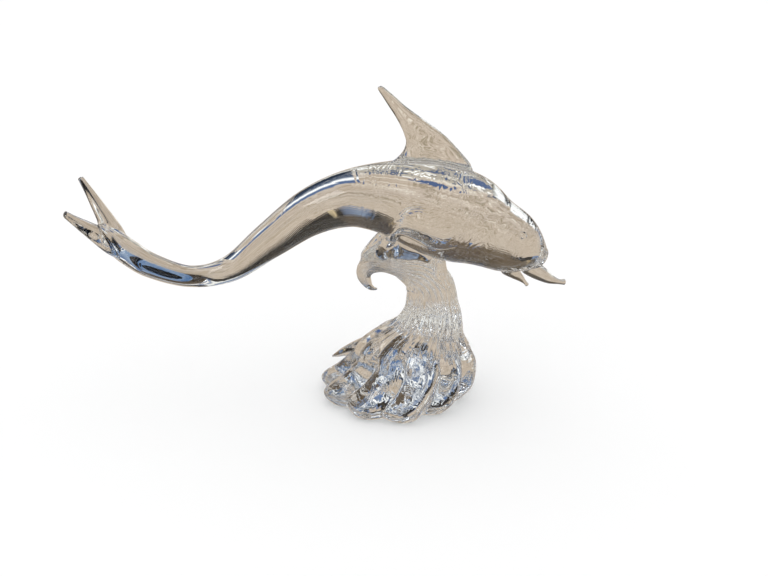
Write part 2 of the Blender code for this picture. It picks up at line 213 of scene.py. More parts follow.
def flutes(tree, angle, count, depth):
    """How far the skin lies below a row of rounded flutes, with softened valleys between them."""
    halves = add(tree, MATH, {0: count, 1: 0.5}, operation="MULTIPLY")
    half = add(tree, MATH, {0: angle, 1: halves}, operation="MULTIPLY")
    cosine = add(tree, MATH, {0: half}, operation="COSINE")
    square = add(tree, MATH, {0: cosine, 1: cosine, 2: VALLEY_SOFTNESS}, operation="MULTIPLY_ADD")
    crown = add(tree, MATH, {0: square}, operation="SQRT")
    valley = add(tree, MATH, {0: 1.0, 1: crown}, operation="SUBTRACT")
    return add(tree, MATH, {0: valley, 1: depth}, operation="MULTIPLY")


def swayed_angles(tree, given, ring, angle, sine, cosine):
    """The angle that lobes and ribs follow, and the one that wandering threads follow."""
    double = add(tree, MATH, {0: angle, 1: 2.0, 2: SWAY_START}, operation="MULTIPLY_ADD")
    uneven = add(tree, MATH, {0: double}, operation="SINE")
    swayed = add(tree, MATH, {0: uneven, 1: given["Lobe Sway"], 2: angle}, operation="MULTIPLY_ADD")
    swayed = add(tree, MATH, {0: swayed, 1: given["Lobe Turn"]}, operation="SUBTRACT")
    height = add(tree, MATH, {0: ring, 1: WANDER_PER_RING}, operation="MULTIPLY")
    circle = add(tree, "ShaderNodeCombineXYZ", {"X": cosine, "Y": sine, "Z": height})
    wander = add(tree, "ShaderNodeTexNoise", {"Vector": circle, "W": given["Seed"],
                 "Scale": WANDER_SCALE, "Detail": 2.0}, noise_dimensions="4D")
    drift = add(tree, MATH, {0: wander, 1: 0.5}, operation="SUBTRACT")
    strayed = add(tree, MATH, {0: drift, 1: THREAD_WANDER, 2: swayed}, operation="MULTIPLY_ADD")
    return swayed, strayed


def carved(tree, given, angle, swayed, strayed, shares):
    """How deep the fluting and the pinched corners cut, from the shares that a ring carries."""
    lobed, ribbed, threaded = shares
    lobes = flutes(tree, swayed, given["Lobes"], given["Lobe Depth"])
    ribs = flutes(tree, swayed, given["Ribs"], given["Rib Depth"])
    threads = flutes(tree, strayed, given["Threads"], given["Thread Depth"])
    double = add(tree, MATH, {0: angle, 1: 2.0}, operation="MULTIPLY")
    corner = add(tree, MATH, {0: double}, operation="SINE")
    corner = add(tree, MATH, {0: corner, 1: 2.0}, operation="POWER")
    corner = add(tree, MATH, {0: corner, 1: given["Corner Pinch"]}, operation="MULTIPLY")
    fullness = add(tree, MATH, {0: lobed, 1: LOBE_FULLNESS}, operation="POWER")
    cut = add(tree, MATH, {0: lobes, 1: fullness}, operation="MULTIPLY")
    for depth, share in ((corner, lobed), (ribs, ribbed), (threads, threaded)):
        cut = add(tree, MATH, {0: depth, 1: share, 2: cut}, operation="MULTIPLY_ADD")
    return cut


print("threads wander by up to", round(math.degrees(THREAD_WANDER / 2)), "degrees")

# %% The tree that skins a line of sections
SAME_PLACE = 2e-6


def reach(tree, vector, cut, wave):
    """One half axis of the oval, shortened by the cut, times a sine or cosine."""
    length = add(tree, VECTOR_MATH, {0: vector}, operation="LENGTH").outputs["Value"]
    unit = add(tree, VECTOR_MATH, {0: vector}, operation="NORMALIZE")
    left = add(tree, MATH, {0: length, 1: cut}, operation="SUBTRACT")
    left = add(tree, MATH, {0: left, 1: 0.0}, operation="MAXIMUM")
    size = add(tree, MATH, {0: left, 1: wave}, operation="MULTIPLY")
    return add(tree, VECTOR_MATH, {0: unit, "Scale": size}, operation="SCALE")


def bar_tree():
    """Build the tree: rings round each point of the line, fluted, closed and given its glass."""
    tree = bpy.data.node_groups.new("hot_worked_bar", "GeometryNodeTree")
    tree.interface.new_socket("Skin", in_out="OUTPUT", socket_type="NodeSocketGeometry")
    for name, kind, start in BAR_INPUTS:
        socket = tree.interface.new_socket(name, in_out="INPUT", socket_type=kind)
        if start is not None:
            socket.default_value = start
    given = tree.nodes.new("NodeGroupInput").outputs
    line = given["Line"]
    grid, ring, angle = numbered_rings(tree, line, given["Around"])
    sine = add(tree, MATH, {0: angle}, operation="SINE")
    cosine = add(tree, MATH, {0: angle}, operation="COSINE")

    def carried(stored, kind):
        """A field of the line, read at this vertex's ring."""
        return add(tree, "GeometryNodeSampleIndex",
                   {"Geometry": line, "Value": stored, "Index": ring}, data_type=kind)

    centre = carried(add(tree, "GeometryNodeInputPosition"), "FLOAT_VECTOR")
    side, rise = (
        carried(add(tree, "GeometryNodeInputNamedAttribute", {"Name": name}, data_type="FLOAT_VECTOR"),
                "FLOAT_VECTOR")
        for name in ("side", "rise")
    )
    shares = [
        carried(add(tree, "GeometryNodeInputNamedAttribute", {"Name": name}, data_type="FLOAT"), "FLOAT")
        for name in ("lobed", "ribbed", "threaded")
    ]
    swayed, strayed = swayed_angles(tree, given, ring, angle, sine, cosine)
    cut = carved(tree, given, angle, swayed, strayed, shares)
    squared = add(tree, MATH, {0: cosine, 1: 2.0}, operation="POWER")
    lean = add(tree, MATH, {0: squared, 1: given["Lean"]}, operation="MULTIPLY")
    across = add(tree, MATH, {0: sine, 1: lean}, operation="ADD")
    halves = {0: reach(tree, side, cut, across), 1: reach(tree, rise, cut, cosine)}
    offset = add(tree, VECTOR_MATH, halves, operation="ADD")
    place = add(tree, VECTOR_MATH, {0: centre, 1: offset}, operation="ADD")
    skin = add(tree, "GeometryNodeSetPosition", {"Geometry": grid, "Position": place})
    closed = add(tree, "GeometryNodeMergeByDistance", {"Geometry": skin, "Distance": SAME_PLACE})
    real = add(tree, "GeometryNodeRealizeInstances", {"Geometry": closed})
    glazed = add(tree, "GeometryNodeSetMaterial", {"Geometry": real, "Material": given["Glass"]})
    add(tree, "NodeGroupOutput", {"Skin": glazed})
    return tree


BAR = bar_tree()
print("tree", BAR.name, "with", len(BAR.nodes), "nodes")

# %% [markdown]
# A section is a centre, a side direction, half its width and half its height. Fire rounds every
# end of a glass bar, so the line gets a few more sections there that shrink along a quarter
# circle. After that the line's points take their attributes, the tree is evaluated, and the
# result becomes a plain mesh.

# %% From sections to a line of points
END_STEPS = 5
END_BULGE = 0.6
Y_AXIS = Vector((0.0, 1.0, 0.0))


def dome(point, reach_out):
    """Points that shrink along a quarter circle, out to the end of the reach."""
    turns = [math.pi / 2 * step / END_STEPS for step in range(1, END_STEPS + 1)]
    return [(point[0] + reach_out * math.sin(a), point[1] * math.cos(a), point[2] * math.cos(a))
            for a in turns]


def closing(point):
    """The same point with no size left, which shuts the skin with a flat end."""
    return point[0], point[1] * 0.0, point[2] * 0.0


def bar_line(sections, sheared=False):
    """Points of centre, side vector and rise vector, with rounded ends added."""
    centres = [section[0] for section in sections]
    points = []
    for number, (centre, side, half_side, half_rise) in enumerate(sections):
        ahead = centres[min(number + 1, len(centres) - 1)] - centres[max(number - 1, 0)]
        rise = ahead.cross(side).normalized()
        across = side.normalized() if sheared else rise.cross(ahead).normalized()
        points.append((centre, across * half_side, rise * half_rise))
    ends = []
    for point, beyond in ((points[0], centres[0] - centres[1]), (points[-1], centres[-1] - centres[-2])):
        ends.append(dome(point, beyond.normalized() * min(point[1].length, point[2].length) * END_BULGE))
    return ends[0][::-1] + points + ends[1]


print("a rounded end has", END_STEPS, "sections")

# %% From a line of points to a mesh
CLEAR_GLASS = bpy.data.materials.new("clear_soda_lime_glass_fire_polished")
CLEAR_GLASS.use_nodes = True


def line_mesh(name, points, shares):
    """A mesh of loose points that carries each section's vectors and shares of fluting."""
    line = bpy.data.meshes.new(name)
    line.from_pydata([point[0] for point in points], [], [])
    carried = {"side": [point[1] for point in points], "rise": [point[2] for point in points]}
    for attribute, vectors in carried.items():
        stored = line.attributes.new(attribute, "FLOAT_VECTOR", "POINT")
        stored.data.foreach_set("vector", np.array(vectors, np.float32).ravel())
    for number, attribute in enumerate(("lobed", "ribbed", "threaded")):
        stored = line.attributes.new(attribute, "FLOAT", "POINT")
        values = [share[number] for share in shares] if shares else [0.0] * len(points)
        stored.data.foreach_set("value", np.array(values, np.float32))
    return line


def shown(name, data):
    """A new object in the scene that shows a mesh, a light or a camera."""
    thing = bpy.data.objects.new(name, data)
    bpy.context.scene.collection.objects.link(thing)
    return thing


def baked(thing):
    """The object's evaluated mesh, with the object removed."""
    mesh = bpy.data.meshes.new_from_object(thing.evaluated_get(bpy.context.evaluated_depsgraph_get()))
    bpy.data.objects.remove(thing, do_unlink=True)
    return mesh


def skinned(name, points, shares=None, **sizes):
    """Skin a line of points with the tree, and return it as a closed mesh that faces outwards."""
    holder = shown(name + "_line", line_mesh(name + "_line", points, shares))
    grow = holder.modifiers.new("skin", "NODES")
    grow.node_group = BAR
    named = {item.name: item.identifier for item in BAR.interface.items_tree if item.in_out == "INPUT"}
    for size, value in {"Glass": CLEAR_GLASS, **sizes}.items():
        grow[named[size.replace("_", " ")]] = value
    mesh = baked(holder)
    mesh.name = name
    bm = bmesh.new()
    bm.from_mesh(mesh)
    bmesh.ops.recalc_face_normals(bm, faces=bm.faces)
    if bm.calc_volume(signed=True) < 0:
        bmesh.ops.reverse_faces(bm, faces=bm.faces)
    bm.to_mesh(mesh)
    open_edges = sum(1 for edge in bm.edges if not edge.is_manifold)
    bm.free()
    print(f"{name}: {len(mesh.polygons)} faces, {open_edges} open edges")
    return mesh


print("bars are made of", CLEAR_GLASS.name)

# %% [markdown]
# The body is a round bar whose middle line follows the leap, from the root of the flukes to the
# melon, which is the rounded forehead. Its rows are shares of the dolphin's length and of the
# chest's depth and width. The skin has many rings, because clear glass shows every kink.

# %% The body: along, up, half depth, half width, as shares
BODY = (
    (-0.703, -0.0320, 0.080, 0.280),
    (-0.672, -0.0635, 0.212, 0.420),
    (-0.640, -0.0905, 0.238, 0.450),
    (-0.597, -0.1175, 0.216, 0.485),
    (-0.519, -0.1405, 0.195, 0.410),
    (-0.437, -0.1240, 0.275, 0.345),
    (-0.353, -0.0620, 0.380, 0.510),
    (-0.270, -0.0030, 0.475, 0.700),
    (-0.189, 0.0265, 0.580, 0.850),
    (-0.108, 0.0270, 0.770, 0.920),
    (-0.048, 0.0150, 0.925, 0.980),
    (0.000, 0.0000, 0.980, 1.000),
    (0.053, -0.0205, 0.945, 0.985),
    (0.101, -0.0460, 0.768, 0.865),
    (0.143, -0.0680, 0.668, 0.700),
    (0.174, -0.0860, 0.495, 0.510),
    (0.201, -0.1020, 0.240, 0.250),
)
BODY_STRIDE = 0.05
BODY_STEPS = 8
SNOUT_BULGE = 0.40
SEAT_STATION = 11


def dolphin_point(along, up):
    """A place in the dolphin's middle plane, from its shares along and up."""
    height = WAVE_HEIGHT + CHEST_DEPTH / 2
    return Vector((SEAT_OFFSET + along * DOLPHIN_LENGTH, 0.0, height + up * DOLPHIN_LENGTH))


def body_section(place):
    """Centre, upward direction, half depth and half width of the body at a station."""
    along, up, depth, width = between(BODY, place)
    behind, before = (dolphin_point(*between(BODY, place + step)[:2])
                      for step in (-BODY_STRIDE, BODY_STRIDE))
    ahead = before - behind
    rise = Vector((-ahead.z, 0.0, ahead.x)).normalized()
    return dolphin_point(along, up), rise, depth * CHEST_DEPTH / 2, width * CHEST_WIDTH / 2


def body_mesh():
    """The body and tail, with the melon's rounded front."""
    points = []
    for place in places(BODY, BODY_STEPS):
        centre, rise, depth, width = body_section(place)
        points.append((centre, Y_AXIS * width, rise * depth))
    tail, head = points[0], points[-1]
    snout = Vector((head[2].z, 0.0, -head[2].x)) * SNOUT_BULGE
    return skinned("body", [closing(tail)] + points + dome(head, snout), Around=96)


body = body_mesh()
print("chest over", tuple(round(x, 3) for x in body_section(SEAT_STATION)[0]))

# %% [markdown]
# The fins are the same kind of bar, only flat. The dorsal fin is pulled out of the back with
# pincers and swept towards the tail. Its rows are level cuts, from inside the back to the tip.

# %% The dorsal fin: up, trailing edge, leading edge, thickness, as shares
DORSAL = (
    (0.00, 0.00, 0.98, 1.00),
    (0.16, 0.00, 0.905, 1.00),
    (0.28, 0.115, 0.800, 0.80),
    (0.39, 0.165, 0.695, 0.60),
    (0.49, 0.142, 0.585, 0.52),
    (0.58, 0.100, 0.455, 0.46),
    (0.68, 0.040, 0.305, 0.40),
    (0.78, -0.030, 0.160, 0.36),
    (0.88, -0.098, 0.040, 0.33),
    (0.955, -0.150, -0.055, 0.30),
    (0.980, -0.150, -0.085, 0.24),
)
DORSAL_STATION = 9.03
DORSAL_SINK = 0.52
DORSAL_LEAN = -0.45
DORSAL_TIP = 0.1
FIN_STEPS = 6
X_AXIS = Vector((1.0, 0.0, 0.0))


def dorsal_mesh():
    """A thin swept blade that stands on the back."""
    centre, rise, depth, width = body_section(DORSAL_STATION)
    foot = centre.z + depth * DORSAL_SINK
    points = []
    for place in places(DORSAL, FIN_STEPS):
        up, trailing, leading, thick = between(DORSAL, place)
        along = centre.x + (trailing + leading) / 2 * DORSAL_CHORD
        chord = X_AXIS * (leading - trailing) / 2 * DORSAL_CHORD
        middle = Vector((along, 0.0, foot + up * DORSAL_HEIGHT))
        points.append((middle, chord, Y_AXIS * thick * DORSAL_THICKNESS / 2))
    tip = closing(points[-1])
    tip = (tip[0] + Vector((0.0, 0.0, DORSAL_THICKNESS * DORSAL_TIP)), *tip[1:])
    return skinned("dorsal_fin", [closing(points[0])] + points + [tip], Around=72, Lean=DORSAL_LEAN)


dorsal = dorsal_mesh()

# %% [markdown]
# The tail ends in two flukes. Each is drawn outwards from the root as a thick pointed blade, and
# while it is soft the pair is twisted, so the near one points down and the far one up.

# %% The flukes: back, outward, half chord, half thickness, as shares
FLUKE = (
    (0.000, 0.10, 0.36, 1.00),
    (0.033, 0.35, 0.41, 0.85),
    (0.070, 0.59, 0.32, 0.62),
    (0.106, 0.81, 0.20, 0.48),
    (0.136, 0.97, 0.11, 0.38),
)
FLUKE_STATION = 1.4
FLUKE_SLOPE = math.radians(50.5)
FLUKE_ROLL = math.radians(15.5)
FLUKE_YAW = math.radians(12.0)
FLUKE_SWEEP = 0.44


def fluke_mesh(hand):
    """One half of the tail fin; hand is -1 for the near one and 1 for the far one."""
    root = dolphin_point(*between(BODY, FLUKE_STATION)[:2])
    back = Vector((-math.cos(FLUKE_SLOPE), 0.0, math.sin(FLUKE_SLOPE)))
    roll = Matrix.Rotation(-FLUKE_ROLL, 3, back)
    yaw = Matrix.Rotation(FLUKE_YAW, 3, "Z")
    out = yaw @ roll @ Vector((0.0, hand, 0.0))
    sections = []
    for place in places(FLUKE, FIN_STEPS):
        along, outward, chord, thick = between(FLUKE, place)
        centre = root + back * along * DOLPHIN_LENGTH + out * outward * FLUKE_SPAN / 2
        half_chord, half_thick = chord * FLUKE_SPAN / 2, thick * FLUKE_THICKNESS / 2
        sections.append((centre, out - back * FLUKE_SWEEP, half_chord, half_thick))
    return skinned("fluke", bar_line(sections), Around=48)


near_fluke, far_fluke = (fluke_mesh(hand) for hand in (-1, 1))

# %% [markdown]
# The beak and the jaw are pulled out with pincers as well. The glass is let go there, and a small
# blob stays at each end.

# %% The beak and the jaw: along, up, half height, half width, as shares
BEAK = (
    (0.170, -0.119, 0.45, 0.62),
    (0.197, -0.132, 0.48, 0.50),
    (0.219, -0.1455, 0.32, 0.34),
    (0.238, -0.1520, 0.160, 0.19),
    (0.250, -0.1530, 0.185, 0.18),
)
JAW = (
    (0.130, -0.121, 0.48, 0.60),
    (0.152, -0.137, 0.32, 0.42),
    (0.167, -0.151, 0.14, 0.17),
    (0.1740, -0.1590, 0.12, 0.12),
)


def beak_mesh(name, rows):
    """The upper beak or the lower jaw."""
    sections = []
    for place in places(rows, FIN_STEPS):
        along, up, height, width = between(rows, place)
        sections.append((dolphin_point(along, up), Y_AXIS, width * BEAK_WIDTH, height * BEAK_WIDTH))
    return skinned(name, bar_line(sections), Around=32)


beak, jaw = beak_mesh("beak", BEAK), beak_mesh("jaw", JAW)

# %% [markdown]
# The wave is one thick gather, too: it is pressed into a ribbed mould, pulled up to a waist and
# bent over hot, so that the ribs run from the foot up the column and round the curl. Its line
# starts under the foot and ends in the tip of the hook. The skirt's sections lie level, so that
# the foot is flat, and they turn square to the line on the way up the column.

# %% The wave's line: along, up, half thickness, half width, as shares
SKIRT = (
    (-0.005, -0.060, 0.74, 0.84),
    (0.000, 0.000, 0.910, 1.03),
    (0.012, 0.080, 1.035, 1.14),
    (0.076, 0.160, 0.960, 1.08),
    (0.137, 0.270, 0.845, 0.94),
    (0.140, 0.357, 0.76, 0.81),
    (0.174, 0.447, 0.61, 0.64),
    (0.228, 0.515, 0.48, 0.49),
)
COLUMN = (
    (0.257, 0.595, 1.16, 1.16),
    (0.259, 0.681, 1.013, 1.02),
    (0.2437, 0.800, 0.916, 1.00),
)
CREST = (
    (0.1688, 0.8760, 1.213, 1.360),
    (0.0467, 0.9200, 0.611, 1.240),
    (0.0000, 0.9320, 0.450, 1.120),
    (-0.0850, 0.9480, 0.400, 1.020),
    (-0.1720, 0.9400, 0.550, 0.870),
    (-0.2080, 0.8738, 0.440, 0.650),
    (-0.1800, 0.7988, 0.250, 0.400),
    (-0.1480, 0.7700, 0.120, 0.200),
    (-0.1183, 0.7650, 0.050, 0.080),
)
WAVE = [
    (along * WAVE_HEIGHT, up * WAVE_HEIGHT, thick * across / 2, wide * across / 2)
    for rows, across in ((SKIRT, FOOT_WIDTH), (COLUMN, COLUMN_WIDTH), (CREST, CREST_WIDTH))
    for along, up, thick, wide in rows
]
WAVE_STRIDE = 0.15
TURN_ROW = 8.5
TURN_ROWS = 3.0


def clamp(share):
    """A share held between 0 and 1."""
    return max(0.0, min(1.0, share))


def wave_section(place):
    """Centre, outward direction, half thickness and half width of the wave at a station."""
    x, z, thick, wide = between(WAVE, place)
    before, after = between(WAVE, place - WAVE_STRIDE), between(WAVE, place + WAVE_STRIDE)
    ahead = Vector((after[0] - before[0], 0.0, after[1] - before[1])).normalized()
    turned = clamp((place - TURN_ROW) / TURN_ROWS)
    ahead = Vector((0.0, 0.0, 1.0)).lerp(ahead, turned).normalized()
    return Vector((x, 0.0, max(0.0, z))), Vector((ahead.z, 0.0, -ahead.x)), thick, wide


print("wave of", len(WAVE), "rows")

# %% [markdown]
# The wave's own bar carries the flutes. The skirt has ten thick lobes, the column and the curl
# have fine ribs, and thin threads run over all of them where the mould's edges dragged. Each ring
# carries a share of the three, so the lobes fade out up the column, and the ribs and threads fade
# out down the skirt and towards the hook.

# %% The fluted wave
LOBES = 10
LOBE_TURN = math.radians(25)
LOBE_DEPTH = 0.013
LOBE_ROWS = 5.0
CORNER_PINCH = 0.035
RIBS = 26
RIB_DEPTH = 0.0023
RIBS_LOST = 0.9
THREADS = 60
THREAD_DEPTH = 0.0005
THREADS_LOST = 0.97
CURL_ROW = 11.0
CURL_ROWS = 6.0
WAVE_STEPS = 5


def wave_mesh():
    """The breaking wave, with a flat foot on the table."""
    points, shares = [], []
    for place in places(WAVE, WAVE_STEPS):
        centre, outward, thick, wide = wave_section(place)
        points.append((centre, Y_AXIS * wide, outward * thick))
        skirt = clamp((TURN_ROW - place) / LOBE_ROWS)
        curl = clamp((place - CURL_ROW) / CURL_ROWS)
        shares.append((skirt, (1 - curl) * (1 - RIBS_LOST * skirt), (1 - curl) * (1 - THREADS_LOST * skirt)))
    points = [closing(points[0])] + points + [closing(points[-1])]
    shares = [shares[0]] + shares + [shares[-1]]
    return skinned("wave", points, shares, Around=480, Lobes=LOBES, Lobe_Depth=LOBE_DEPTH,
                   Lobe_Turn=LOBE_TURN, Corner_Pinch=CORNER_PINCH * FOOT_WIDTH / 2, Ribs=RIBS,
                   Rib_Depth=RIB_DEPTH, Threads=THREADS, Thread_Depth=THREAD_DEPTH, Seed=4.0)


wave = wave_mesh()

# %% [markdown]
# The pectoral fins hold the dolphin to the wave. Each starts in the flank, lies along it and then
# leaves it: its tip is drawn down and pressed onto the top of the curl.

# %% The pectoral fins: station, rise, outward, chord as shares, and lean in degrees
PECTORAL = (
    (11.75, -0.34, 0.90, 0.20, -14),
    (11.40, -0.44, 0.95, 0.55, -14),
    (10.85, -0.48, 1.00, 0.80, -14),
    (10.10, -0.46, 1.00, 0.66, -14),
    (9.50, -0.50, 1.00, 0.45, 0),
    (9.28, -0.80, 1.00, 0.42, 45),
)
PECTORAL_LANDING = (1.30, 80)
PECTORAL_FOOT = 14.55
PECTORAL_SPREAD = 0.42


def skin_point(place, share, hand):
    """A place on the body's surface: how far up its half depth, and on which side."""
    centre, rise, depth, width = body_section(place)
    aside = Vector((0.0, hand * width * math.sqrt(1 - share ** 2), 0.0))
    return centre + rise * depth * share + aside


def pectoral_mesh(hand):
    """A fin along the flank, whose tip is pressed onto the top of the curl."""
    centre, outward, thick, wide = wave_section(PECTORAL_FOOT)
    middle = centre + Y_AXIS * hand * wide * PECTORAL_SPREAD
    rows = [(*skin_point(place, share, hand * out), chord, lean)
            for place, share, out, chord, lean in PECTORAL]
    rows.append((*(middle + outward * thick), *PECTORAL_LANDING))
    rows.append((*middle, *PECTORAL_LANDING))
    sections = []
    for place in places(rows, FIN_STEPS):
        x, y, z, chord, lean = between(rows, place)
        blade = Vector((-math.sin(math.radians(lean)), 0.0, math.cos(math.radians(lean))))
        half_chord = chord * PECTORAL_CHORD / 2
        sections.append((Vector((x, y, z)), blade, half_chord, PECTORAL_THICKNESS / 2))
    return skinned("pectoral_fin", bar_line(sections, sheared=True), Around=40)


near_fin, far_fin = (pectoral_mesh(hand) for hand in (-1, 1))

# %% [markdown]
# The dolphin sits on the column. A neck of glass runs from the column up into the belly, hidden
# in both of them, and flares at its ends. It carries the column's threads.

# %% The neck: share of the way up, half width as a share of the column's
NECK = ((0.0, 0.80), (0.35, 0.72), (0.65, 0.66), (0.85, 0.80), (1.0, 0.95))
NECK_ROW = 10.2
NECK_SHIFT = 0.45
NECK_SINK = 0.55
NECK_FLATNESS = 0.46
NECK_THREADS = 40
JOINT_STEPS = 5


def neck_mesh():
    """The neck of glass that runs from the column up into the belly."""
    waist = wave_section(NECK_ROW)
    belly = body_section(SEAT_STATION)
    base = waist[0] + waist[1] * waist[2] * NECK_SHIFT
    top = belly[0] - belly[1] * belly[2] * NECK_SINK
    sections = []
    for place in places(NECK, JOINT_STEPS):
        share, flare = between(NECK, place)
        half = flare * COLUMN_WIDTH / 2
        sections.append((base.lerp(top, share), Y_AXIS, half, half * NECK_FLATNESS))
    line = bar_line(sections)
    return skinned("neck", line, [(0.0, 1.0, 1.0)] * len(line), Around=240, Threads=NECK_THREADS,
                   Thread_Depth=THREAD_DEPTH)


neck = neck_mesh()

# %% [markdown]
# Behind the near fin the gap between the curl's top and the belly is closed by a thick web of the
# same glass, which shows as a dark window. Each row ties a station of the wave to one of the body
# and says how far up between them it lies, so the web follows both when either is moved.

# %% The web: wave station, body station, share of the way up, height, width
WEB = (
    (14.0, 8.95, 0.30, 0.37, 0.85),
    (13.3, 9.20, 0.60, 0.60, 1.35),
    (12.1, 9.80, 0.78, 0.77, 1.20),
    (11.4, 10.55, 1.00, 1.48, 0.96),
    (10.85, 11.20, 1.00, 1.50, 0.80),
)


def web_mesh():
    """A thick web of glass that fills the gap between the curl's top, the belly and the fins."""
    sections = []
    for place in places(WEB, JOINT_STEPS):
        wave_place, body_place, up, height, width = between(WEB, place)
        centre, outward, thick, wide = wave_section(wave_place)
        spine, rise, depth, girth = body_section(body_place)
        low, high = centre + outward * thick, spine - rise * depth
        half_width, half_height = width * CREST_WIDTH / 2, height * (high - low).length
        sections.append((low.lerp(high, up), Y_AXIS, half_width, half_height))
    return skinned("web", bar_line(sections), Around=40)


web = web_mesh()

# %% [markdown]
# Under the tail, towards the far side, a pointed leaf of glass is thrown out from the skirt. It
# is a flat bar that arches a little and narrows to its tip.

# %% The leaf: share of the way out, half width
SPLASH = ((0.0, 1.0), (0.45, 1.0), (0.7, 0.85), (0.88, 0.55), (1.0, 0.14))
SPLASH_WIDTH = 0.036
SPLASH_FLATNESS = 0.44
SPLASH_TURN = math.radians(155)
SPLASH_REACH = 0.462
SPLASH_START = 0.17
SPLASH_HEIGHTS = (0.44, 0.185)
SPLASH_ARCH = 0.03


def splash_mesh():
    """A pointed leaf of glass thrown out from the skirt."""
    away = Vector((math.cos(SPLASH_TURN), math.sin(SPLASH_TURN), 0.0))
    start = Vector((SPLASH_START, 0.0, SPLASH_HEIGHTS[0])) * WAVE_HEIGHT
    end = away * FOOT_WIDTH * SPLASH_REACH + Vector((0.0, 0.0, SPLASH_HEIGHTS[1] * WAVE_HEIGHT))
    sections = []
    for place in places(SPLASH, FIN_STEPS):
        share, flare = between(SPLASH, place)
        arch = SPLASH_ARCH * WAVE_HEIGHT * math.sin(math.pi * share)
        half = flare * SPLASH_WIDTH / 2
        point = start.lerp(end, share) + Vector((0.0, 0.0, arch))
        sections.append((point, Vector((-away.y, away.x, 0.0)), half, half * SPLASH_FLATNESS))
    return skinned("splash", bar_line(sections), Around=40)


splash = splash_mesh()

# %% [markdown]
# An eye is a small bead of glass, touched onto the cheek while both are hot. A ball that is
# pressed a little flat across does for it.

# %% The eyes
EYE_STATION = 13.9
EYE_RISE = 0.53
EYE_STRETCH = (1.0, 0.55, 1.15, 1.0)


def eye_mesh(hand):
    """A small bead of glass pressed into the cheek."""
    centre = skin_point(EYE_STATION, EYE_RISE, hand)
    place = Matrix.Translation(centre) @ Matrix.Diagonal(EYE_STRETCH)
    bm = bmesh.new()
    bmesh.ops.create_icosphere(bm, subdivisions=4, radius=EYE_DIAMETER / 2, matrix=place)
    mesh = bpy.data.meshes.new("eye")
    bm.to_mesh(mesh)
    bm.free()
    return mesh


near_eye, far_eye = (eye_mesh(hand) for hand in (-1, 1))
print("eyes of", len(near_eye.polygons), "faces each")

# %% [markdown]
# Fusing comes next. Glass that overlaps inside would show false walls, so the bars have to become
# one skin. A voxel remesh would melt them together too, but it would blur the flutes and leave
# steps in the clear body. Here the dolphin's bars and the fluted wave are joined by one exact
# union, which keeps every bar as it is.

# %% Join the bars


def gathered(meshes):
    """Several closed meshes in one, still overlapping."""
    bm = bmesh.new()
    for mesh in meshes:
        bm.from_mesh(mesh)
    whole = bpy.data.meshes.new("gathered")
    bm.to_mesh(whole)
    bm.free()
    return whole


def joined(first, second):
    """The exact union of two closed meshes, which may overlap themselves too."""
    thing, other = shown("first", first), shown("second", second)
    union = thing.modifiers.new("union", "BOOLEAN")
    union.operation = "UNION"
    union.solver = "EXACT"
    union.use_self = True
    union.object = other
    mesh = baked(thing)
    bpy.data.objects.remove(other, do_unlink=True)
    return mesh


dolphin = gathered([body, dorsal, beak, jaw, neck, web, splash,
                    near_fluke, near_fin, near_eye, far_fluke, far_fin, far_eye])
sculpted = joined(dolphin, wave)
print("union of", len(sculpted.vertices), "vertices")

# %% [markdown]
# The union meets in sharp creases, and a flame leaves none. So the seam alone is softened: its
# vertices are the ones that the bars didn't have, and what lies near them is drawn towards its
# neighbours a few times. The flat foot and the crisp eyes are left as they are.

# %% Soften the seam
SEAM_RADIUS = 0.007
SEAM_PULL = 0.5
SEAM_ROUNDS = 14
FOOT_EDGE = 0.001


def new_places(bm, kept):
    """Places of the vertices that none of the kept meshes had."""
    tree = KDTree(sum(len(old.vertices) for old in kept))
    for number, point in enumerate(v.co for old in kept for v in old.vertices):
        tree.insert(point, number)
    tree.balance()
    return [v.co.copy() for v in bm.verts if tree.find(v.co)[2] > SAME_PLACE]


def seam_weights(bm, seam, spared):
    """How strongly each vertex is smoothed: most at the seam, and not at all near the eyes."""
    near = KDTree(len(seam))
    for number, point in enumerate(seam):
        near.insert(point, number)
    near.balance()
    weights = {}
    for v in bm.verts:
        distance = near.find(v.co)[2]
        crisp = any((v.co - place).length < EYE_DIAMETER for place in spared)
        if distance < SEAM_RADIUS and v.co.z > FOOT_EDGE and not crisp:
            weights[v] = SEAM_PULL * (1 - distance / SEAM_RADIUS)
    return weights


def softened(mesh, kept, spared):
    """The mesh with its seam smoothed, and with its many-sided faces cut into triangles."""
    bm = bmesh.new()
    bm.from_mesh(mesh)
    seam = new_places(bm, kept)
    bmesh.ops.poke(bm, faces=[face for face in bm.faces if len(face.verts) > 4])
    weights = seam_weights(bm, seam, spared)
    for _ in range(SEAM_ROUNDS):
        moved = {}
        for v, weight in weights.items():
            around = [edge.other_vert(v).co for edge in v.link_edges]
            moved[v] = v.co.lerp(sum(around, Vector()) / len(around), weight)
        for v, place in moved.items():
            v.co = place
    bm.to_mesh(mesh)
    open_edges = sum(1 for edge in bm.edges if not edge.is_manifold)
    print("seam of", len(seam), "vertices,", open_edges, "open edges")
    bm.free()
    return mesh


eyes = [skin_point(EYE_STATION, EYE_RISE, hand) for hand in (-1, 1)]
whole = softened(sculpted, (dolphin, wave), eyes)
print("fused glass of", sum(len(face.vertices) - 2 for face in whole.polygons), "triangles")

# %% [markdown]
# Soda-lime furnace glass is clear, and its skin is fire-polished: the look is all refraction. Its
# index is about 1.5. The glass is never quite even, and the streaks in it, called cords, bend
# light a little more or less. They show as fine swirling lines. They are drawn as a shallow bump:
# lines of equal height through a slow noise, about 2 mm apart, and weaker towards the tail, where
# pulling has drawn them out.

# %% Cords in the glass
CORD_SCALE = 16.0
CORD_LINES = 120.0
CORD_DEPTH = 0.00004
TAIL_CORDS = 0.15
TAIL_END, CHEST_START = -0.13, 0.03


